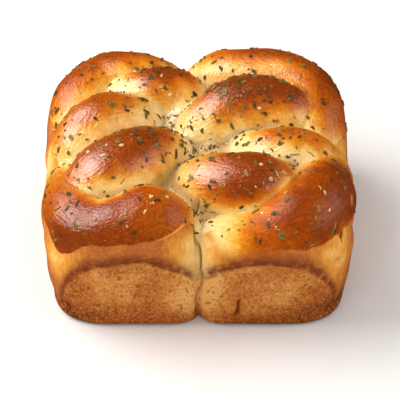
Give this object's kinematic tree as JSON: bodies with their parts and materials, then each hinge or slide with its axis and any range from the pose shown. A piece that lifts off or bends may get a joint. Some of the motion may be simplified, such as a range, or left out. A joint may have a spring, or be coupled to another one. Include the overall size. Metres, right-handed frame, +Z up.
{
  "type": "plaited dinner roll",
  "caption": "Square pull-apart roll of plaited soft dough with an egg-washed crust, herb flakes on top and flat sides where it baked against its tin.",
  "frame": {"origin": "middle of the bounding box at the underside, which is what the roll stands on", "axes": "+X to the right seen from the front, +Y to the back, +Z up through the plait"},
  "size_m": [0.1092, 0.1136, 0.057],
  "materials": {
    "crust": "egg-washed bread crust, glossy chestnut on the crests, cream in the creases, matt tan crumb where the tin or the next roll touched",
    "herb_leaf": "dried dark green herb leaf, matt",
    "herb_stem": "dried pale olive herb stem, matt",
    "garlic_grain": "cream dried garlic grain, matt"
  },
  "bodies": {
    "root": {"roll": "crust"}
  },
  "joints": []
}
